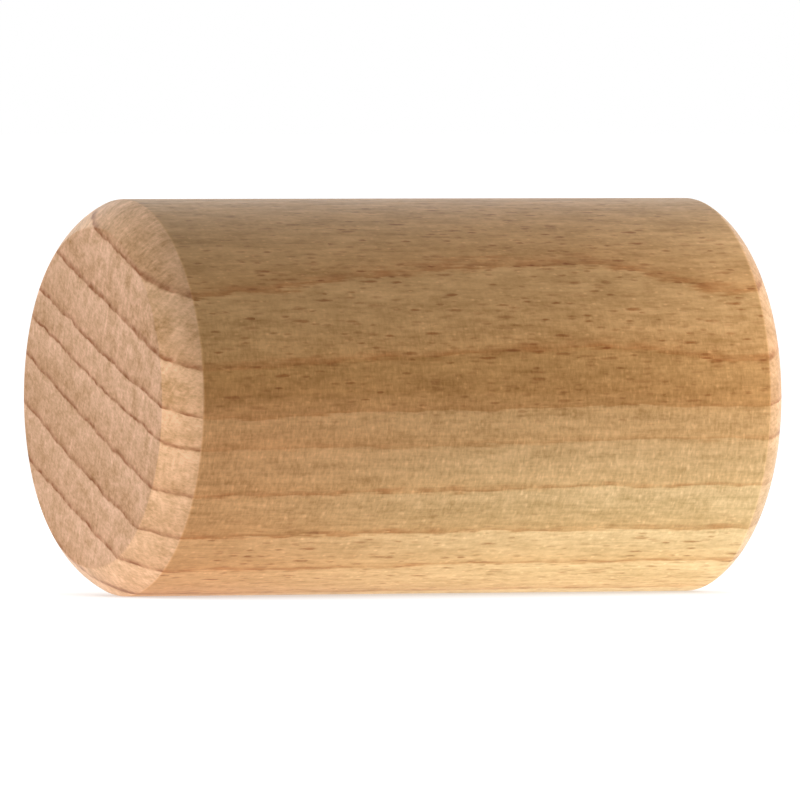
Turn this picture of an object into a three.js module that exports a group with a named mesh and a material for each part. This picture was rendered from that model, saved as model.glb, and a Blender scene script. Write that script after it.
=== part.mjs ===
// A percussion shaker: a turned wooden barrel, bored blind from one end, holding loose steel shot
// and closed by a glued wooden plug. Millimetres, +Z up.
// It lies on its side: the axis runs along X, the closed end is at -X and the plug at +X.
// The origin is under the middle of the barrel, on the surface that it rests on.
import * as THREE from "three";

// Outside of the barrel
const BARREL_DIAMETER = 48;
const BARREL_LENGTH = 82.5;
const CLOSED_END_BEVEL_LENGTH = 4.05; // along the axis
const PLUG_END_BEVEL_LENGTH = 3.1;
const BEVEL_DEPTH = 3.55; // towards the axis
const BEVEL_CROWN = 0.4; // how far the bevel swells past a straight cone

// Inside of the barrel
const CHAMBER_WALL = 8;
const CLOSED_END_THICKNESS = 7.5;
const PILOT_MARK_DIAMETER = 3; // left by the centre point of the bit, at the bottom of the bore
const PILOT_MARK_DEPTH = 1.5;

// Plug and its seat
const PLUG_THICKNESS = 7;
const PLUG_CHAMFER = 0.8; // lead-in on the inner edge
const SEAT_WIDTH = 1.2; // ledge that the plug sits against
const GLUE_GAP = 0.1; // round the plug

// Shot
const SHOT_DIAMETER = 4.5;
const SHOT_COUNT = 40;
const SHOT_GAP = 0.3; // from pellet to pellet
const SHOT_CLEARANCE = 0.3; // from pellet to wall

// Facets
const ROUND_SEGMENTS = 64;
const BEVEL_STEPS = 5;
const SHOT_DETAIL = 2;

// Sizes that follow from those above
const barrelRadius = BARREL_DIAMETER / 2;
const faceRadius = barrelRadius - BEVEL_DEPTH;
const chamberRadius = barrelRadius - CHAMBER_WALL;
const seatRadius = chamberRadius + SEAT_WIDTH;
const plugRadius = seatRadius - GLUE_GAP;
const closedFace = -BARREL_LENGTH / 2;
const plugFace = BARREL_LENGTH / 2;
const chamberFloor = closedFace + CLOSED_END_THICKNESS;
const chamberMouth = plugFace - PLUG_THICKNESS;
const sideStart = closedFace + CLOSED_END_BEVEL_LENGTH;
const sideEnd = plugFace - PLUG_END_BEVEL_LENGTH;

// A point of a turned profile, from its radius and its place along the axis.
const point = (radius, along) => new THREE.Vector2(radius, along);

// Turns a profile about the X axis. The facets touch the true round from outside, so that the
// widths across flats are the true diameters, and one flat faces straight down.
function turned(profile) {
  const halfFacet = Math.PI / ROUND_SEGMENTS;
  const reach = 1 / Math.cos(halfFacet);
  const geometry = new THREE.LatheGeometry(profile, ROUND_SEGMENTS, halfFacet);
  return geometry.scale(reach, 1, reach).rotateZ(-Math.PI / 2);
}

// The bevel's profile from one edge to the other. It swells away from the barrel's middle.
function crownedBevel(from, to) {
  const chord = to.clone().sub(from);
  const outward = new THREE.Vector2(chord.y, -chord.x).normalize();
  const control = from.clone().add(to).multiplyScalar(0.5).addScaledVector(outward, 2 * BEVEL_CROWN);
  return new THREE.QuadraticBezierCurve(from, control, to).getPoints(BEVEL_STEPS);
}

// The barrel: outside from the closed face to the plug's end, then inside back to the bottom of the bore.
function barrelGeometry() {
  const outside = [
    point(0, closedFace),
    ...crownedBevel(point(faceRadius, closedFace), point(barrelRadius, sideStart)),
    ...crownedBevel(point(barrelRadius, sideEnd), point(faceRadius, plugFace)),
  ];
  const plugSeat = [
    point(seatRadius, plugFace),
    point(seatRadius, chamberMouth),
    point(chamberRadius, chamberMouth),
  ];
  const bottom = [
    point(chamberRadius, chamberFloor),
    point(PILOT_MARK_DIAMETER / 2, chamberFloor),
    point(0, chamberFloor - PILOT_MARK_DEPTH),
  ];
  return turned([...outside, ...plugSeat, ...bottom]);
}

// The plug: a disc against the ledge of its seat, flush with the barrel's end.
function plugGeometry() {
  return turned([
    point(0, chamberMouth),
    point(plugRadius - PLUG_CHAMFER, chamberMouth),
    point(plugRadius, chamberMouth + PLUG_CHAMFER),
    point(plugRadius, plugFace),
    point(0, plugFace),
  ]);
}

// Where the pellets lie: one layer on the bottom of the bore, in lanes along the axis. Seen from
// above, the lanes are staggered like a honeycomb, so each pellet has its own way up and down.
// The lowest lane fills first, then those beside it.
function shotPlaces() {
  const pitch = SHOT_DIAMETER + SHOT_GAP;
  const laneStep = pitch * Math.sin(Math.PI / 3);
  const rollRadius = chamberRadius - SHOT_DIAMETER / 2 - SHOT_CLEARANCE;
  const laneRoom = chamberMouth - chamberFloor - 2 * SHOT_CLEARANCE - SHOT_DIAMETER;
  const fullLane = 1 + Math.floor(laneRoom / pitch);
  const middle = (chamberFloor + chamberMouth) / 2;
  const places = [];
  for (let step = 0; step * laneStep < rollRadius; step += 1) {
    const inLane = step % 2 === 0 ? fullLane : fullLane - 1;
    const sides = step === 0 ? [0] : [1, -1];
    for (const side of sides) {
      const across = side * step * laneStep;
      const height = -Math.sqrt(rollRadius ** 2 - across ** 2);
      for (let i = 0; i < inLane; i += 1) {
        places.push(new THREE.Vector3(middle + (i - (inLane - 1) / 2) * pitch, across, height));
      }
    }
  }
  return places.slice(0, SHOT_COUNT);
}

function named(name, geometry, finish) {
  const mesh = new THREE.Mesh(geometry, new THREE.MeshStandardMaterial(finish));
  mesh.name = name;
  return mesh;
}

const BARREL_WOOD = { color: 0xc09263, roughness: 0.5, metalness: 0 };
const PLUG_WOOD = { color: 0xc9a072, roughness: 0.55, metalness: 0 };
const STEEL = { color: 0x9a9a9c, roughness: 0.25, metalness: 1 };

const shaker = new THREE.Group();
shaker.position.z = barrelRadius;
shaker.add(named("barrel", barrelGeometry(), BARREL_WOOD));
shaker.add(named("end_plug", plugGeometry(), PLUG_WOOD));

shotPlaces().forEach((place, index) => {
  const name = `shot_${String(index + 1).padStart(2, "0")}`;
  const pellet = named(name, new THREE.IcosahedronGeometry(SHOT_DIAMETER / 2, SHOT_DETAIL), STEEL);
  pellet.position.copy(place);
  shaker.add(pellet);
});

export default shaker;
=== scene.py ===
import math
from typing import NamedTuple

import bpy
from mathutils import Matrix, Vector


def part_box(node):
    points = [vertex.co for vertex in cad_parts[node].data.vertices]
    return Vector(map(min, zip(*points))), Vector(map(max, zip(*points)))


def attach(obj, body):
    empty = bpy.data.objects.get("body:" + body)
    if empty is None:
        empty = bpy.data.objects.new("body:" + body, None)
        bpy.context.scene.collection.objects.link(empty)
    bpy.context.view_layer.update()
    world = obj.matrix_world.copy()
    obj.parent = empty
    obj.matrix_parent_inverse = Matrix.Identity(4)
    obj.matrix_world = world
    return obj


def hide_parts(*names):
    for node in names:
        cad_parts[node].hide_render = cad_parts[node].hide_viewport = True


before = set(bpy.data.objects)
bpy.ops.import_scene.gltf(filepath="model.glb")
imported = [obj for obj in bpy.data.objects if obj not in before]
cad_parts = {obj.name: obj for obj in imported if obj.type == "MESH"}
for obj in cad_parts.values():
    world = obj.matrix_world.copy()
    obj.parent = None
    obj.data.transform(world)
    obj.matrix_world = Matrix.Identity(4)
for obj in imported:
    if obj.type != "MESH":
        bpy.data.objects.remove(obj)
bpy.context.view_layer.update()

MM = 0.001
WHITE = (1.0, 1.0, 1.0, 1.0)

# Finer shapes than the solids have
ROUND_SEGMENTS = 192
BEVEL_STEPS = 14
EDGE_STEPS = 5
BEVEL_CROWN = 0.4 * MM
FACE_CREASE = 0.6 * MM  # softness of the edge between a flat end and its bevel
SIDE_ARRIS = 0.35 * MM  # softness of the edge between a bevel and the side
SEAM_EDGE = 0.12 * MM  # broken edges on both sides of the glue line
PLUG_LEAD_IN = 0.8 * MM
GLUE_SINK = 0.15 * MM  # how far the glue lies below the end
GLUE_DEPTH = 6.0 * MM
GLUE_MARGIN = 0.01 * MM
SHARP_ANGLE = math.radians(40)
PELLET_SUBDIVISIONS = 4
SAME_PLACE = 0.01 * MM

# Picture
PICTURE_SIDE = 800  # pixels
PHOTO_CENTRE = (402.3, 396.0)  # where the middle of the barrel lies in the photograph, pixels
CAMERA_AZIMUTH = math.radians(-24.7)
CAMERA_ELEVATION = math.radians(0.78)
CAMERA_DISTANCE = 2.7
CAMERA_REACH = 100.0
SENSOR_WIDTH = 36.0  # mm
PIXELS_PER_METRE = 8233.0

# Light. Lengths are in metres.
SKY_LOW, SKY_OVERHEAD = 0.02, 0.46
SKY_RISE = 0.25  # how high, from 0 to 1, the sky starts to brighten
TABLE_HALF = 30.0
TABLE_COLOUR = (0.4, 0.4, 0.4, 1.0)
TABLE_ROUGHNESS = 0.9
# In its painted contact shadow the table's white darkens down to this
TABLE_IN_SHADE = 0.45
TABLE_CLEAR = 0.9  # the share of open sky above it from which the table is white
CONTACT_REACH = 0.06
CONTACT_SAMPLES = 16
GLOW_CENTRE = (0.03, -0.01, 0.0)  # the table glows most here, and lights the barrel from below
GLOW_SQUEEZE = (0.6, 1.2, 1.0)
GLOW_REACH = 0.12
GLOW_NEAR, GLOW_FAR = 0.98, 0.28
LAMPS = (  # name, place, size, power, colour; each faces the middle of the barrel
    ("right_lamp", (0.080, -0.056, 0.046), 0.05, 0.037, (0.97, 0.98, 1.0)),
    ("top_lamp", (0.11, 0.0, 0.11), 0.1, 0.015, (1.0, 1.0, 1.0)),
    ("left_lamp", (-0.49, -0.09, 0.04), 0.3, 1.4, (1.0, 1.0, 1.0)),
    ("back_lamp", (-0.1, 0.5, 0.25), 0.4, 1.6, (1.0, 1.0, 1.0)),
)


def srgb(red, green, blue):
    """A linear colour with alpha, from screen values of 0 to 255."""
    def linear(value):
        share = value / 255
        return share / 12.92 if share <= 0.04045 else ((share + 0.055) / 1.055) ** 2.4
    return (linear(red), linear(green), linear(blue), 1.0)


# Wood. The rings are layers, tilted about the grain. Places are in mm from the middle of the piece,
# each with how much deeper the tone of that ring is.
RING_TILT = math.radians(22.7)
BARREL_RINGS = (
    (-33.0, 0), (-27.0, 0), (-21.2, 0), (-15.2, 0), (-9.6, 0.17), (-3.6, 0.11),
    (2.4, 0), (6.6, 1), (12.6, 0.17), (19.5, 0), (25.5, 0), (31.5, 0),
)
PLUG_RING_PLACES = (-21.0, -16.2, -11.9, -6.8, -2.6, 2.4, 6.4, 11.8, 16.5, 21.0)
PLUG_RINGS = tuple((place, 0) for place in PLUG_RING_PLACES)
PLUG_GRAIN = (0.0, 0.94, 0.34)
PLUG_RADIAL = (0.75, -0.225, 0.62)

# Colours of the wood, and factors on them
BARREL_TONES = {
    "side": srgb(206, 160, 105),
    "sapwood": srgb(228, 196, 140),
    "warm": (1.08, 0.96, 0.92, 1.0),
    "late": (0.94, 0.86, 0.76, 1.0),
    "line": (0.76, 0.59, 0.45, 1.0),
    "spindle": (0.60, 0.44, 0.30, 1.0),
    "deep": (0.80, 0.71, 0.56, 1.0),
    "end": srgb(215, 172, 137),
    "bevel": (1.06, 1.05, 0.95, 1.0),
    "end_late": (0.88, 0.82, 0.77, 1.0),
    "end_line": (0.47, 0.29, 0.20, 1.0),
}
PLUG_TONES = {**BARREL_TONES, "side": srgb(222, 174, 118)}
SHADE_BY_CHANNEL = (0.85, 1.0, 1.4)  # how much red, green and blue follow light and dark

# Figures of the wood
SEED_STEPS = (1.0, 1.7, 2.3)  # how far a seed shifts a figure each way
NOISE_SPREAD = (0.2, 0.8)  # nearly all of a noise lies between these
SPOT_EDGE = (0.12, 0.46)  # a spot fades between these distances from its middle, in cells


class Figure(NamedTuple):
    """A noise in the wood. Its size is in mm along the grain, across it and in depth."""

    size: tuple
    seed: float
    amount: float = 1.0
    detail: float = 2.0
    roughness: float = 0.5


class Spots(NamedTuple):
    """Spots in the wood, one to a cell of that size. Some are left out, more are below full strength."""

    size: tuple
    seed: float
    left_out: float
    below_full: float


# The amounts of the waves and feathers bend the rings, in mm. The others make light and dark.
WAVES = (
    Figure((60, 26, 26), 3.1, 0.5),
    Figure((14, 3.5, 3.5), 7.7, 0.25),
    Figure((2.4, 1.3, 1.3), 1.9, 0.16),
)
FEATHER = Figure((7, 0.6, 0.6), 2.6, 0.5, detail=3, roughness=0.6)
CLOUD = Figure((24, 6, 6), 9.1, 0.09, detail=3)
SMALL_CLOUD = Figure((6, 1.6, 1.6), 7.3, 0.14)
STREAK = Figure((8, 0.6, 0.6), 2.2, 0.17, detail=3, roughness=0.6)
MOTTLE = Figure((1.2, 0.5, 0.5), 5.9, 0.15, roughness=0.6)
FIBRE = Figure((0.7, 0.22, 0.22), 4.4, 0.05, detail=1)
UPRIGHT = Figure((0.38, 0.9, 0.9), 1.7, 0.22, roughness=0.6)
PORE = Figure((0.6, 0.65, 0.3), 1.3, 0.24, roughness=0.7)
VEIN = Figure((1.2, 0.4, 3), 2.9, 0.12)
PATCH = Figure((3, 2.6, 1.8), 6.1, 0.16, detail=3)
LINE_BREAKS = Figure((3.2, 1.6, 1.6), 5.3, detail=3)
CONTOUR = Figure((4, 1.7, 6), 3.4, detail=3)
WANDER = Figure((1, 0.5, 0.5), 3.7, 0.45)
LONG_SPINDLE = Spots((3.4, 0.68, 0.68), 6.6, 0.78, 0.95)
SHORT_SPINDLE = Spots((1.9, 0.48, 0.48), 1.1, 0.62, 0.98)
FAINT_SPINDLE = Spots((2.3, 0.55, 0.55), 3.3, 0.3, 0.9)
FAINTNESS = 0.45
SPECK = Spots((0.8, 0.34, 1.2), 8.3, 0.72, 0.95)
TICK = Spots((0.34, 1.2, 1.0), 2.7, 0.3, 0.95)
END_STREAK = Spots((2, 0.45, 4), 4.9, 0.75, 0.95)
SPECK_LIGHT, TICK_LIGHT, END_STREAK_LIGHT = 0.26, 0.2, 0.14

# How the surface cuts the wood, by the share of its normal along the grain, the depth or across both.
# A range goes from where an effect starts to where it is full. Four numbers give its values there too.
CUT_ACROSS = (0.06, 0.42)
FLAT_END = (0.84, 0.98)
# The edge between a bevel and the side is paler: partly wear, partly a painted highlight
WORN_EDGE_START, WORN_EDGE_END = (0.05, 0.16), (0.4, 0.26)
WORN_EDGE_LIGHT = 0.16
FLAT_TO_RINGS = (0.08, 0.5)
ALONG_RAYS = (0.5, 0.95)
RAY_DEPTH = (-11, -3)  # mm
UPRIGHT_SHARES = (0.2, 1.0)  # off and on a surface along the rays

# Rings, by shares of their width from the dark line on
LATE_FALL = 2.2  # exponent
LATE_RETURN = (0.93, 1.0)
EARLY_START, EARLY_END = (0.65, 0.9), (1.0, 0.95)
EARLY_LIGHT = 0.08
LINE_ABOVE, LINE_BELOW = (0.0, 0.12), (0.96, 0.995)
LINE_BREAK_SHARES = (0.35, 0.62, 0.25, 1.0)
LINE_BY_YEAR = (0.75, 1.0)
SHADE_BY_YEAR = (-0.04, 0.04)
DEEP_START, DEEP_END = 3.0, 0.2  # mm over which the tone of a deeper ring comes and goes

# Pale outlines round the patches of cut fibres
OUTLINE_LIGHT, OUTLINE_WIDTH = 0.26, 0.04
OUTLINE_PATCHES = (0.03, 0.12)

# Surface of the wood
WOOD_IOR = 1.36
WOOD_ROUGHNESS = (-0.3, 0.3, 0.45, 0.3)  # by the light and dark of its fibres
END_ROUGHER = 0.5
LINE_HEIGHT = -0.12
WOOD_RELIEF, WOOD_RELIEF_SHARE = 0.05 * MM, 0.3

# Steel and glue, with the sizes of their clouds and scratches per metre
STEEL_DULL, STEEL_BRIGHT = srgb(150, 150, 152), srgb(182, 181, 180)
STEEL_CLOUD = 900.0
STEEL_SCRATCH = (9000.0, 900.0, 2500.0)
STEEL_ROUGHNESS = (0.6, 1.4, 0.14, 0.34)  # by the sum of clouds and scratches
STEEL_RELIEF, STEEL_RELIEF_SHARE = 0.01 * MM, 0.2
GLUE_DARK, GLUE_PALE = srgb(96, 62, 34), srgb(140, 96, 56)
GLUE_CLOUD = 400.0
GLUE_ROUGHNESS = 0.35


# Shapes

def near(a, b):
    return abs(a - b) < SAME_PLACE


class Turned:
    """The sizes of the turned pieces, read from the solids."""

    def __init__(self):
        low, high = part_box("barrel")
        plug_low, plug_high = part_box("end_plug")
        self.axis_height = (low.z + high.z) / 2
        self.radius = (high.y - low.y) / 2
        self.start, self.end = low.x, high.x
        self.mouth = plug_low.x
        self.plug_radius = (plug_high.y - plug_low.y) / 2
        corners = self.corners("barrel")
        side = [x for x, r in corners if near(r, self.radius)]
        self.side_start, self.side_end = min(side), max(side)
        rim = [r for x, r in corners if near(x, self.end)]
        self.face_radius, self.seat_radius = max(rim), min(rim)
        self.chamber_radius = min(r for x, r in corners if near(x, self.mouth))
        self.chamber_floor = min(x for x, r in corners if near(r, self.chamber_radius))
        self.pilot_radius = min(r for x, r in corners if near(x, self.chamber_floor))
        self.pilot_tip = max(x for x, r in corners if near(r, 0.0))

    def corners(self, node):
        """The corners of a node as (place along X, radius), with the radius of the flats beside them."""
        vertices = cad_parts[node].data.vertices
        found = [(v.co.x, math.hypot(v.co.y, v.co.z - self.axis_height)) for v in vertices]
        reach = max(r for x, r in found) / self.radius
        return [(x, r / reach) for x, r in found]


def curve(start, control, end, steps):
    """Points of a quadratic curve, both ends included."""
    points = []
    for i in range(steps + 1):
        t = i / steps
        weights = ((1 - t) ** 2, 2 * t * (1 - t), t ** 2)
        points.append(tuple(
            weights[0] * a + weights[1] * b + weights[2] * c
            for a, b, c in zip(start, control, end)
        ))
    return points


def softened(corners):
    """The points of a profile of (point, softness) corners, where a point is (place along X, radius).

    A soft corner is rounded over that length, and over half of an edge at most.
    """
    made = []
    for i, (point, softness) in enumerate(corners):
        if not softness:
            made.append(point)
            continue
        ends = []
        for other, _ in (corners[i - 1], corners[i + 1]):
            offset = Vector(other) - Vector(point)
            ends.append(tuple(Vector(point) + offset * min(softness / offset.length, 0.5)))
        made += curve(ends[0], point, ends[1], EDGE_STEPS)
    return made


def sharp(*points):
    return [(point, 0.0) for point in points]


def turn(name, profile, height, closed=False):
    """A piece made by turning a profile about the X axis at that height. A closed one makes a ring."""
    vertices, faces, rings = [], [], []
    for x, radius in profile:
        count = ROUND_SEGMENTS if radius > 0 else 1
        rings.append(range(len(vertices), len(vertices) + count))
        for i in range(count):
            angle = 2 * math.pi * i / ROUND_SEGMENTS
            vertices.append((x, -radius * math.sin(angle), height + radius * math.cos(angle)))
    following_rings = rings[1:] + (rings[:1] if closed else [])
    for ring, following in zip(rings, following_rings):
        for i in range(ROUND_SEGMENTS):
            j = (i + 1) % ROUND_SEGMENTS
            corners = [ring[i % len(ring)], ring[j % len(ring)]]
            corners += [following[j % len(following)], following[i % len(following)]]
            faces.append(tuple(dict.fromkeys(corners)))
    mesh = bpy.data.meshes.new(name)
    mesh.from_pydata(vertices, [], faces)
    mesh.shade_smooth()
    mesh.set_sharp_from_angle(angle=SHARP_ANGLE)
    piece = bpy.data.objects.new(name, mesh)
    bpy.context.scene.collection.objects.link(piece)
    return piece


def crowned_bevel(face, side):
    """The corners of a bevel, from its edge at the flat end to its edge at the side."""
    chord = Vector(side) - Vector(face)
    outward = Vector((math.copysign(chord.y, -chord.x), abs(chord.x))).normalized()
    control = (Vector(face) + Vector(side)) / 2 + outward * 2 * BEVEL_CROWN
    points = curve(face, control, side, BEVEL_STEPS)
    return list(zip(points, [FACE_CREASE] + [0.0] * (BEVEL_STEPS - 1) + [SIDE_ARRIS]))


def make_barrel(size):
    """The barrel from the closed end over the side to the plug's end, and back down the bore."""
    support = 2 * FACE_CREASE
    closed_bevel = crowned_bevel((size.start, size.face_radius), (size.side_start, size.radius))
    plug_bevel = crowned_bevel((size.end, size.face_radius), (size.side_end, size.radius))
    corners = sharp((size.start, 0.0), (size.start, size.face_radius - support))
    corners += closed_bevel
    corners += sharp((size.side_start + support, size.radius), (size.side_end - support, size.radius))
    corners += reversed(plug_bevel)
    corners += [((size.end, size.seat_radius), SEAM_EDGE)]
    corners += sharp(
        (size.mouth, size.seat_radius),
        (size.mouth, size.chamber_radius),
        (size.chamber_floor, size.chamber_radius),
        (size.chamber_floor, size.pilot_radius),
        (size.pilot_tip, 0.0),
    )
    return turn("turned_barrel", softened(corners), size.axis_height)


def make_plug(size):
    """The plug from its inner face, over the edge with the lead-in, to its face at the end."""
    corners = sharp((size.mouth, 0.0))
    corners += [((size.mouth, size.plug_radius), PLUG_LEAD_IN)]
    corners += [((size.end, size.plug_radius), SEAM_EDGE)]
    corners += sharp((size.end, size.plug_radius - PLUG_LEAD_IN), (size.end, 0.0))
    return turn("plug_disc", softened(corners), size.axis_height)


def make_glue(size):
    """The ring of glue between the plug and its seat."""
    inner, outer = size.plug_radius + GLUE_MARGIN, size.seat_radius - GLUE_MARGIN
    front = size.end - GLUE_SINK
    back = size.end - GLUE_DEPTH
    loop = [(back, inner), (back, outer), (front, outer), (front, inner)]
    return turn("glue_line", loop, size.axis_height, closed=True)


def make_pellet(node):
    """A ball of shot in the place of a node."""
    low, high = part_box(node)
    centre = (low + high) / 2
    radius = max((v.co - centre).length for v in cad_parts[node].data.vertices)
    bpy.ops.mesh.primitive_ico_sphere_add(
        subdivisions=PELLET_SUBDIVISIONS, radius=radius, location=centre
    )
    pellet = bpy.context.object
    pellet.name = node.replace("shot", "pellet")
    pellet.data.shade_smooth()
    return pellet


# Materials

class Graph:
    """Short calls that add nodes to a node tree. Values may be numbers, tuples or sockets."""

    def __init__(self, tree):
        self.nodes, self.links = tree.nodes, tree.links

    def feed(self, value, socket):
        if isinstance(value, bpy.types.NodeSocket):
            self.links.new(value, socket)
        else:
            socket.default_value = value

    def add(self, kind, inputs=(), **settings):
        node = self.nodes.new(kind)
        for key, value in settings.items():
            setattr(node, key, value)
        for socket, value in dict(inputs).items():
            self.feed(value, node.inputs[socket])
        return node

    def math(self, operation, a, b=0.0):
        return self.add("ShaderNodeMath", {0: a, 1: b}, operation=operation).outputs[0]

    def total(self, *parts):
        result = parts[0]
        for part in parts[1:]:
            result = self.math("ADD", part, result)
        return result

    def product(self, *parts):
        result = parts[0]
        for part in parts[1:]:
            result = self.math("MULTIPLY", result, part)
        return result

    def vector(self, operation, a, b=(0.0, 0.0, 0.0)):
        node = self.add("ShaderNodeVectorMath", {0: a, 1: b}, operation=operation)
        return node.outputs["Value" if operation in ("DOT_PRODUCT", "LENGTH") else "Vector"]

    def scaled(self, a, factor):
        return self.add("ShaderNodeVectorMath", {0: a, "Scale": factor}, operation="SCALE").outputs[0]

    def ranged(self, value, low, high, to_low=0.0, to_high=1.0, smooth=False):
        inputs = {"Value": value, "From Min": low, "From Max": high, "To Min": to_low, "To Max": to_high}
        kind = "SMOOTHSTEP" if smooth else "LINEAR"
        return self.add("ShaderNodeMapRange", inputs, interpolation_type=kind).outputs["Result"]

    def noise(self, place, detail=2.0, roughness=0.5):
        inputs = {"Vector": place, "Scale": 1.0, "Detail": detail, "Roughness": roughness}
        return self.add("ShaderNodeTexNoise", inputs)

    def swing(self, place, amount, detail=2.0, roughness=0.5):
        """A noise that goes from about minus amount to plus amount."""
        noise = self.noise(place, detail, roughness).outputs[0]
        return self.ranged(noise, *NOISE_SPREAD, -amount, amount)

    def spots(self, place, left_out, below_full):
        """Soft spots in cells of size 1: none in the first share of them, full above the second."""
        cells = self.add("ShaderNodeTexVoronoi", {"Vector": place, "Scale": 1.0})
        share = self.add("ShaderNodeSeparateColor", {0: cells.outputs["Color"]}).outputs[0]
        soft = self.ranged(cells.outputs["Distance"], *SPOT_EDGE, 1.0, 0.0, smooth=True)
        return self.product(soft, self.ranged(share, left_out, below_full))

    def mix(self, factor, a, b, blend="MIX"):
        node = self.add("ShaderNodeMix", data_type="RGBA", blend_type=blend)
        self.feed(factor, node.inputs["Factor"])
        self.feed(a, node.inputs[6])
        self.feed(b, node.inputs[7])
        return node.outputs[2]

    def seen(self):
        """1 for rays from the camera and for mirrored and transmitted ones, 0 for those that light."""
        path = self.add("ShaderNodeLightPath")
        seen = path.outputs["Is Camera Ray"]
        for name in ("Is Glossy Ray", "Is Transmission Ray"):
            seen = self.math("MAXIMUM", seen, path.outputs[name])
        return seen

    def either(self, choice, if_one, if_zero):
        """One of two numbers, by a choice of 1 or 0."""
        return self.ranged(choice, 0.0, 1.0, if_zero, if_one)


class Material(Graph):
    """A material with one principled shader."""

    def __init__(self, name):
        self.material = bpy.data.materials.new(name)
        self.material.use_nodes = True
        super().__init__(self.material.node_tree)
        self.shader = self.nodes["Principled BSDF"]

    def set(self, **values):
        """Sets the shader's own sockets, by names with _ for a space."""
        for key, value in values.items():
            self.feed(value, self.shader.inputs[key.replace("_", " ")])

    def relief(self, height, distance, strength):
        """Normals of a surface with small bumps."""
        bump = {"Strength": strength, "Distance": distance, "Height": height}
        return self.add("ShaderNodeBump", bump).outputs["Normal"]


class Wood(Material):
    """Solid wood, worked out from the place in the grain and from how the surface cuts the grain."""

    def __init__(self, name, centre, along, radial, rings, tones):
        super().__init__(name)
        self.rings, self.tones = rings, tones
        self.grain = Vector(along).normalized()
        self.radial = Vector(radial).normalized()
        self.tangent = self.radial.cross(self.grain)
        coordinates = self.add("ShaderNodeTexCoord")
        self.normal = coordinates.outputs["Normal"]
        place = self.vector("SUBTRACT", coordinates.outputs["Object"], tuple(centre))
        place = self.scaled(place, 1 / MM)
        self.along, self.across, self.depth = (
            self.vector("DOT_PRODUCT", place, tuple(direction))
            for direction in (self.grain, self.tangent, self.radial)
        )
        axes = {0: self.along, 1: self.across, 2: self.depth}
        self.in_grain = self.add("ShaderNodeCombineXYZ", axes).outputs[0]
        self.find_cuts()
        self.lay_rings()
        self.scatter_rays()
        self.shade()
        self.paint()

    def bends(self):
        """How far the rings lie from flat layers, in mm of depth."""
        return 0.0

    def side_tone(self):
        return self.tones["side"]

    def side_share_of_bevel(self):
        return 0.2

    def side_share_of_end(self):
        return 0.0

    def bevel_glow(self):
        """How much paler a bevel is painted than its own colour: painted light and sheen on its slanting
        cut.
        """
        return 1.0

    def faint_edges(self):
        """How much weaker the edges of some rings are."""
        return 0.0

    def cloud_strength(self):
        """How strong the small clouds are."""
        return 1.0

    def deep_shift(self):
        """How far the deeper tone of a ring reaches past its line, in mm."""
        return 0.0

    def deep_share(self):
        """How much of the deeper tone of some rings shows."""
        return 1.0

    def places(self, figure):
        """Places in units of a figure's size."""
        scaled = self.vector("MULTIPLY", self.in_grain, tuple(1 / length for length in figure.size))
        return self.vector("ADD", scaled, tuple(figure.seed * step for step in SEED_STEPS))

    def drawn(self, figure):
        """A figure as a noise from 0 to 1."""
        return self.noise(self.places(figure), figure.detail, figure.roughness)

    def swinging(self, figure):
        """A figure that goes from about minus its amount to plus its amount."""
        return self.swing(self.places(figure), figure.amount, figure.detail, figure.roughness)

    def spotted(self, spots, wander=None):
        places = self.places(spots)
        if wander is not None:
            places = self.vector("ADD", places, wander)
        return self.spots(places, spots.left_out, spots.below_full)

    def facing(self, direction):
        return self.math("ABSOLUTE", self.vector("DOT_PRODUCT", self.normal, tuple(direction)))

    def find_cuts(self):
        """Where the surface cuts the fibres across, lies flat to the rings, or lies along the rays."""
        self.slope = self.facing(self.grain)
        self.cut = self.ranged(self.slope, *CUT_ACROSS, smooth=True)
        self.flat_end = self.ranged(self.slope, *FLAT_END, smooth=True)
        self.long_grain = self.math("SUBTRACT", 1.0, self.cut)
        flat = self.ranged(self.facing(self.radial), *FLAT_TO_RINGS, smooth=True)
        quarter = self.ranged(self.facing(self.tangent), *ALONG_RAYS, smooth=True)
        self.flat_cut = self.product(flat, self.long_grain)
        self.ray_cut = self.product(quarter, self.long_grain, self.ranged(self.depth, *RAY_DEPTH))

    def lay_rings(self):
        """Growth rings. Each starts with a thin dark line, and its wood pales from there on."""
        bent = self.math("SUBTRACT", self.depth, self.bends())
        for wave in WAVES:
            bent = self.math("ADD", bent, self.swinging(wave))
        bent = self.math("ADD", bent, self.product(self.swinging(FEATHER), self.long_grain))
        self.bent = bent
        shifted = self.math("ADD", bent, self.deep_shift())
        age, deep = 0.0, 0.0
        for (inner, tone), (outer, _) in zip(self.rings, self.rings[1:]):
            age = self.math("ADD", self.ranged(bent, inner, outer), age)
            if tone:
                outside = self.ranged(bent, outer - DEEP_END, outer)
                inside = self.ranged(shifted, inner, inner + DEEP_START)
                inside = self.math("SUBTRACT", inside, outside)
                deep = self.total(self.product(inside, tone), deep)
        self.deep = self.product(deep, self.deep_share())
        within = self.math("FRACT", age)
        year = {"W": self.math("FLOOR", age)}
        self.year = self.add("ShaderNodeTexWhiteNoise", year, noise_dimensions="1D").outputs["Value"]
        edge_share = self.math("SUBTRACT", 1.0, self.faint_edges())
        late = self.math("POWER", self.math("SUBTRACT", 1.0, within), LATE_FALL)
        self.late = self.math("MAXIMUM", late, self.ranged(within, *LATE_RETURN, smooth=True))
        self.early = self.product(
            self.ranged(within, *EARLY_START, smooth=True),
            self.ranged(within, *EARLY_END, smooth=True),
            edge_share,
        )
        above = self.ranged(within, *LINE_ABOVE, 1.0, 0.0, smooth=True)
        below = self.ranged(within, *LINE_BELOW, smooth=True)
        broken = self.drawn(LINE_BREAKS).outputs[0]
        self.line = self.product(
            self.math("MAXIMUM", above, below),
            self.ranged(broken, *LINE_BREAK_SHARES),
            self.ranged(self.year, 0, 1, *LINE_BY_YEAR),
            edge_share,
        )

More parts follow.
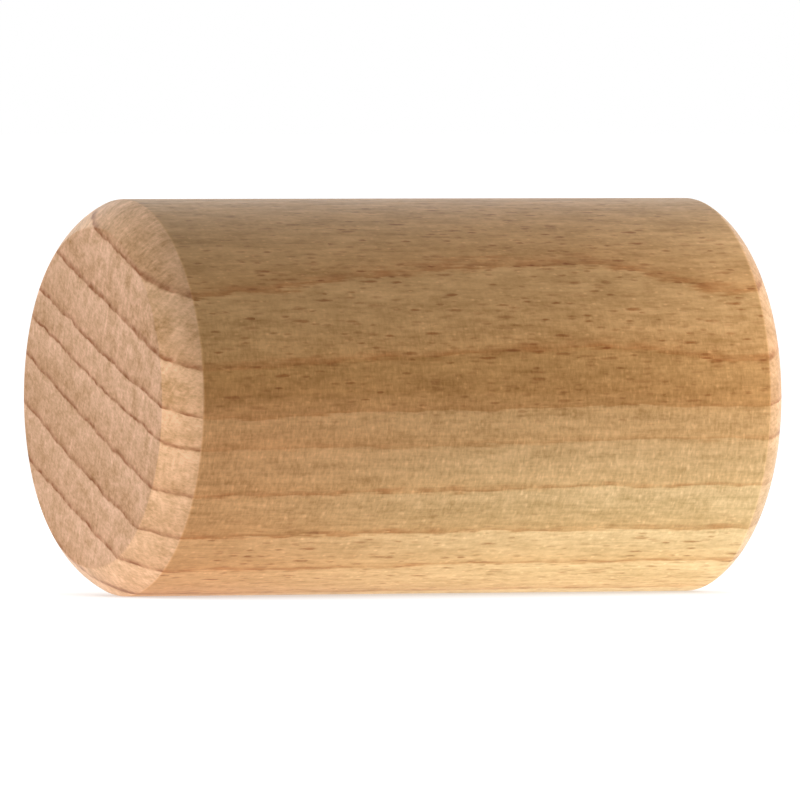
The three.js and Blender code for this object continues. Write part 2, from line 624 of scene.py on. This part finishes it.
    def scatter_rays(self):
        """Rays: dark spindles where the rings lie flat, light flecks elsewhere, streaks on an end."""
        wander = self.scaled(self.drawn(WANDER).outputs["Color"], WANDER.amount)
        spindle = self.math(
            "MAXIMUM", self.spotted(LONG_SPINDLE, wander), self.spotted(SHORT_SPINDLE, wander)
        )
        faint = self.product(self.spotted(FAINT_SPINDLE, wander), FAINTNESS)
        self.spindle = self.product(self.math("MAXIMUM", spindle, faint), self.flat_cut)
        speck = self.product(self.spotted(SPECK), self.long_grain)
        tick = self.product(self.spotted(TICK), self.ray_cut)
        streak = self.product(self.spotted(END_STREAK), self.cut)
        self.fleck = self.total(
            self.product(speck, SPECK_LIGHT),
            self.product(tick, TICK_LIGHT),
            self.product(streak, END_STREAK_LIGHT),
        )

    def shade(self):
        """Light and dark: clouds, streaks, mottle, fibres, and pores where fibres are cut across."""
        small_cloud = self.product(self.swinging(SMALL_CLOUD), self.cloud_strength())
        cloud = self.total(self.swinging(CLOUD), small_cloud)
        self.streak = self.swinging(STREAK)
        upright = self.product(self.swinging(UPRIGHT), self.ranged(self.ray_cut, 0, 1, *UPRIGHT_SHARES))
        fibre = self.total(self.swinging(MOTTLE), self.swinging(FIBRE), upright)
        self.fibre = self.product(fibre, self.long_grain)
        patches = self.swinging(PATCH)
        contour = self.math("SUBTRACT", self.drawn(CONTOUR).outputs[0], 0.5)
        contour = self.ranged(self.math("ABSOLUTE", contour), 0.0, OUTLINE_WIDTH, OUTLINE_LIGHT, 0.0)
        outline = self.product(contour, self.ranged(patches, *OUTLINE_PATCHES))
        pores = self.total(self.swinging(PORE), self.swinging(VEIN), patches, outline)
        self.pores = self.product(pores, self.cut)
        # Paler edge between bevel and side: partly wear, partly a painted highlight
        worn_edge = self.product(
            self.ranged(self.slope, *WORN_EDGE_START),
            self.ranged(self.slope, *WORN_EDGE_END),
        )
        shade = self.total(
            cloud, self.streak, self.fibre, self.pores, self.fleck,
            self.ranged(self.year, 0, 1, *SHADE_BY_YEAR),
            self.product(self.early, EARLY_LIGHT),
            self.product(worn_edge, WORN_EDGE_LIGHT),
        )
        self.tone = self.vector("ADD", self.scaled(SHADE_BY_CHANNEL, shade), (1.0, 1.0, 1.0))

    def paint(self):
        """Colours the side, the bevels and the flat ends, and gives them their gloss and relief."""
        tones = self.tones
        side = self.side_tone()
        for share, tone in (
            (self.late, "late"), (self.line, "line"), (self.spindle, "spindle"), (self.deep, "deep"),
        ):
            side = self.mix(share, side, tones[tone], "MULTIPLY")
        end = self.mix(self.late, tones["end"], tones["end_late"], "MULTIPLY")
        end = self.mix(self.line, end, tones["end_line"], "MULTIPLY")
        bevel = self.mix(1.0, end, tones["bevel"], "MULTIPLY")
        bevel = self.mix(self.side_share_of_bevel(), bevel, side)
        # The bevel's colour is scaled up here by painted light and sheen
        bevel = self.scaled(bevel, self.bevel_glow())
        end = self.mix(self.side_share_of_end(), end, side)
        colour = self.mix(self.cut, side, self.mix(self.flat_end, bevel, end))
        colour = self.vector("MULTIPLY", colour, self.tone)
        roughness = self.ranged(self.total(self.streak, self.fibre), *WOOD_ROUGHNESS)
        roughness = self.math("ADD", roughness, self.product(self.flat_end, END_ROUGHER))
        height = self.total(self.fibre, self.pores, self.product(self.line, LINE_HEIGHT))
        normal = self.relief(height, WOOD_RELIEF, WOOD_RELIEF_SHARE)
        self.set(Base_Color=colour, Roughness=roughness, Normal=normal, IOR=WOOD_IOR)


class BarrelWood(Wood):
    """The barrel's wood, with its own bends. It turns paler and yellower towards the bottom and towards
    the plug's end.

    The ranges are in mm from the middle of the barrel. Four numbers give the values at their ends too.
    """

    ENDS = (-38, 38)  # near the closed end and near the plug's end
    RISE = 0.014
    SWELL_ALONG, SWELL_DIP, SWELL_DEPTH = (-38, 4), (16, 36, 1.0, -0.35), (6, 21, 0.2, 2.0)
    BOW_ACROSS, BOW_DEPTH = (-20, 20), (6, -6, -0.6, 1.3)
    LIFT_ACROSS, LIFT_DEPTH = (-8, -22), (12, 6)
    SAPWOOD_ALONG, SAPWOOD_DEPTH = (-56, 36), (10, -7)
    WARM_ALONG, WARM_DEPTH = (6, -34), (14, 4)
    # Where the closed end's bevel is painted paler, as painted light and sheen
    GLOW_TOP, GLOW_LOW, GLOW_FRONT = (19, 8, 0.0, 0.3), (6, -12, 1.0, 0.2), (10, -14)
    FAINT_START, FAINT_END = (1.2, 2.0), (8.4, 7.4, 0.0, 0.65)
    CLOUD_DEPTH = (4, 14, 1.0, 1.7)
    # Values near the closed end and near the plug's end
    SIDE_SHARES_OF_BEVELS, SIDE_SHARES_OF_ENDS = (0.06, 0.5), (0.0, 0.5)
    DEEP_SHIFTS, DEEP_SHARES = (0.0, 1.8), (1.0, 0.75)

    def bends(self):
        """The rings rise along the barrel, swell near the top, bow across it and lift at the front."""
        rise = self.product(self.math("SUBTRACT", self.along, self.ENDS[0]), self.RISE)
        swell = self.product(
            self.ranged(self.along, *self.SWELL_ALONG),
            self.ranged(self.along, *self.SWELL_DIP, smooth=True),
            self.ranged(self.depth, *self.SWELL_DEPTH),
        )
        bow = self.product(
            self.ranged(self.across, *self.BOW_ACROSS),
            self.ranged(self.depth, *self.BOW_DEPTH, smooth=True),
        )
        lift = self.product(
            self.ranged(self.across, *self.LIFT_ACROSS),
            self.ranged(self.depth, *self.LIFT_DEPTH),
        )
        return self.total(rise, swell, bow, lift)

    def side_tone(self):
        # Paler and yellower towards the bottom and towards the plug's end
        pale = self.product(
            self.ranged(self.along, *self.SAPWOOD_ALONG, smooth=True),
            self.ranged(self.depth, *self.SAPWOOD_DEPTH, smooth=True),
        )
        warm = self.product(
            self.ranged(self.along, *self.WARM_ALONG, smooth=True),
            self.ranged(self.depth, *self.WARM_DEPTH, smooth=True),
        )
        side = self.mix(warm, self.tones["side"], self.tones["warm"], "MULTIPLY")
        return self.mix(pale, side, self.tones["sapwood"])

    def side_share_of_bevel(self):
        return self.ranged(self.along, *self.ENDS, *self.SIDE_SHARES_OF_BEVELS)

    def side_share_of_end(self):
        return self.ranged(self.along, *self.ENDS, *self.SIDE_SHARES_OF_ENDS)

    def bevel_glow(self):
        """Painted light and sheen: the closed end's bevel is painted paler at the front, below the top.
        """
        glow = self.product(
            self.ranged(self.depth, *self.GLOW_TOP, smooth=True),
            self.ranged(self.depth, *self.GLOW_LOW, smooth=True),
            self.ranged(self.across, *self.GLOW_FRONT, smooth=True),
            self.ranged(self.along, *self.ENDS, 1.0, 0.0),
        )
        return self.math("ADD", glow, 1.0)

    def faint_edges(self):
        """Two rings have faint edges on the side."""
        return self.product(
            self.ranged(self.bent, *self.FAINT_START),
            self.ranged(self.bent, *self.FAINT_END),
            self.long_grain,
        )

    def cloud_strength(self):
        """Clouds are stronger near the top."""
        return self.ranged(self.depth, *self.CLOUD_DEPTH)

    def deep_shift(self):
        return self.ranged(self.along, *self.ENDS, *self.DEEP_SHIFTS)

    def deep_share(self):
        return self.ranged(self.along, *self.ENDS, *self.DEEP_SHARES)


def steel_material():
    """Polished steel, faintly clouded and scratched."""
    g = Material("polished_steel")
    place = g.add("ShaderNodeTexCoord").outputs["Object"]
    cloud = g.noise(g.scaled(place, STEEL_CLOUD), detail=4.0).outputs[0]
    scratch = g.noise(g.vector("MULTIPLY", place, STEEL_SCRATCH), detail=2.0).outputs[0]
    colour = g.mix(cloud, STEEL_DULL, STEEL_BRIGHT)
    roughness = g.ranged(g.total(cloud, scratch), *STEEL_ROUGHNESS)
    normal = g.relief(scratch, STEEL_RELIEF, STEEL_RELIEF_SHARE)
    g.set(Base_Color=colour, Roughness=roughness, Normal=normal, Metallic=1.0)
    return g.material


def glue_material():
    """Dried wood glue, clouded brown."""
    g = Material("wood_glue")
    place = g.add("ShaderNodeTexCoord").outputs["Object"]
    cloud = g.noise(g.scaled(place, GLUE_CLOUD), detail=3.0).outputs[0]
    g.set(Base_Color=g.mix(cloud, GLUE_DARK, GLUE_PALE), Roughness=GLUE_ROUGHNESS)
    return g.material


# Pieces

def place_pieces():
    """Makes the visible pieces, and returns the middle of the barrel."""
    size = Turned()
    middle = Vector(((size.start + size.end) / 2, 0.0, size.axis_height))
    plug_middle = Vector((size.end, 0.0, size.axis_height))
    tilted = (0.0, -math.sin(RING_TILT), math.cos(RING_TILT))
    barrel_wood = BarrelWood("barrel_beech", middle, (1, 0, 0), tilted, BARREL_RINGS, BARREL_TONES)
    plug_wood = Wood("plug_beech", plug_middle, PLUG_GRAIN, PLUG_RADIAL, PLUG_RINGS, PLUG_TONES)
    barrel, plug, glue = make_barrel(size), make_plug(size), make_glue(size)
    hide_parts("barrel")
    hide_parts("end_plug")
    for piece, material, slot in (
        (barrel, barrel_wood.material, "barrel_wood"),
        (plug, plug_wood.material, "plug_wood"),
        (glue, glue_material(), "plug_wood"),
    ):
        piece.data.materials.append(material)
        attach(piece, "case")
    steel = steel_material()
    for node in sorted(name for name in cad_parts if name.startswith("shot_")):
        pellet = make_pellet(node)
        pellet.data.materials.append(steel)
        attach(pellet, node)
        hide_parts(node)
    return middle


# Stage

def make_floor():
    """The white table. Its white carries a painted contact shadow where the object hides open sky from
    it, on top of its real shadow, and it glows up at the barrel.
    """
    corners = [(x * TABLE_HALF, y * TABLE_HALF, 0) for x, y in ((-1, -1), (1, -1), (1, 1), (-1, 1))]
    mesh = bpy.data.meshes.new("floor")
    mesh.from_pydata(corners, [], [(0, 1, 2, 3)])
    floor = bpy.data.objects.new("floor", mesh)
    bpy.context.scene.collection.objects.link(floor)
    g = Material("white_table")
    # Painted contact shadow: ambient occlusion darkens the white that the camera sees
    contact = g.add("ShaderNodeAmbientOcclusion", {"Distance": CONTACT_REACH}, samples=CONTACT_SAMPLES)
    shown = g.ranged(contact.outputs["AO"], 0.0, TABLE_CLEAR, TABLE_IN_SHADE, 1.0)
    place = g.vector("SUBTRACT", g.add("ShaderNodeTexCoord").outputs["Object"], GLOW_CENTRE)
    distance = g.vector("LENGTH", g.vector("MULTIPLY", place, GLOW_SQUEEZE))
    glow = g.ranged(distance, 0.0, GLOW_REACH, GLOW_NEAR, GLOW_FAR, smooth=True)
    g.set(Base_Color=TABLE_COLOUR, Roughness=TABLE_ROUGHNESS, Emission_Color=WHITE)
    g.set(Emission_Strength=g.either(g.seen(), shown, glow), Specular_IOR_Level=0.0)
    g.material.cycles.emission_sampling = "NONE"
    mesh.materials.append(g.material)


def make_world():
    """A sky that shows as white and lights the object softly from above."""
    world = bpy.data.worlds.new("studio")
    world.use_nodes = True
    bpy.context.scene.world = world
    g = Graph(world.node_tree)
    direction = g.add("ShaderNodeTexCoord").outputs["Generated"]
    upwards = g.add("ShaderNodeSeparateXYZ", {0: direction}).outputs["Z"]
    light = g.ranged(upwards, SKY_RISE, 1.0, SKY_LOW, SKY_OVERHEAD)
    background = g.nodes["Background"]
    background.inputs["Color"].default_value = WHITE
    g.feed(g.either(g.seen(), 1.0, light), background.inputs["Strength"])


def make_lamp(name, place, target, size, power, colour):
    """A round, soft lamp that faces a target."""
    lamp = bpy.data.lights.new(name, "AREA")
    lamp.shape = "DISK"
    lamp.size = size
    lamp.energy = power
    lamp.color = colour
    made = bpy.data.objects.new(name, lamp)
    made.location = place
    made.visible_camera = False
    made.visible_glossy = False
    made.rotation_mode = "QUATERNION"
    made.rotation_quaternion = (Vector(target) - Vector(place)).to_track_quat("-Z", "Y")
    bpy.context.scene.collection.objects.link(made)


def make_camera(middle):
    """The camera at the photograph's angle, aimed so that the barrel lies where it does there."""
    back = Vector((
        math.sin(CAMERA_AZIMUTH) * math.cos(CAMERA_ELEVATION),
        -math.cos(CAMERA_AZIMUTH) * math.cos(CAMERA_ELEVATION),
        math.sin(CAMERA_ELEVATION),
    ))
    facing = (-back).to_track_quat("-Z", "Y")
    offset_x = (PICTURE_SIDE / 2 - PHOTO_CENTRE[0]) / PIXELS_PER_METRE
    offset_y = (PHOTO_CENTRE[1] - PICTURE_SIDE / 2) / PIXELS_PER_METRE
    aim = middle + facing @ Vector((offset_x, offset_y, 0.0))
    data = bpy.data.cameras.new("camera")
    data.sensor_width = SENSOR_WIDTH
    data.lens = data.sensor_width * CAMERA_DISTANCE * PIXELS_PER_METRE / PICTURE_SIDE
    data.clip_end = CAMERA_REACH
    camera = bpy.data.objects.new("camera", data)
    camera.location = aim + back * CAMERA_DISTANCE
    camera.rotation_mode = "QUATERNION"
    camera.rotation_quaternion = facing
    bpy.context.scene.collection.objects.link(camera)
    bpy.context.scene.camera = camera


barrel_middle = place_pieces()
make_floor()
make_world()
for lamp_name, lamp_place, lamp_size, lamp_power, lamp_colour in LAMPS:
    make_lamp(lamp_name, lamp_place, barrel_middle, lamp_size, lamp_power, lamp_colour)
make_camera(barrel_middle)
bpy.context.scene.view_settings.view_transform = "Standard"
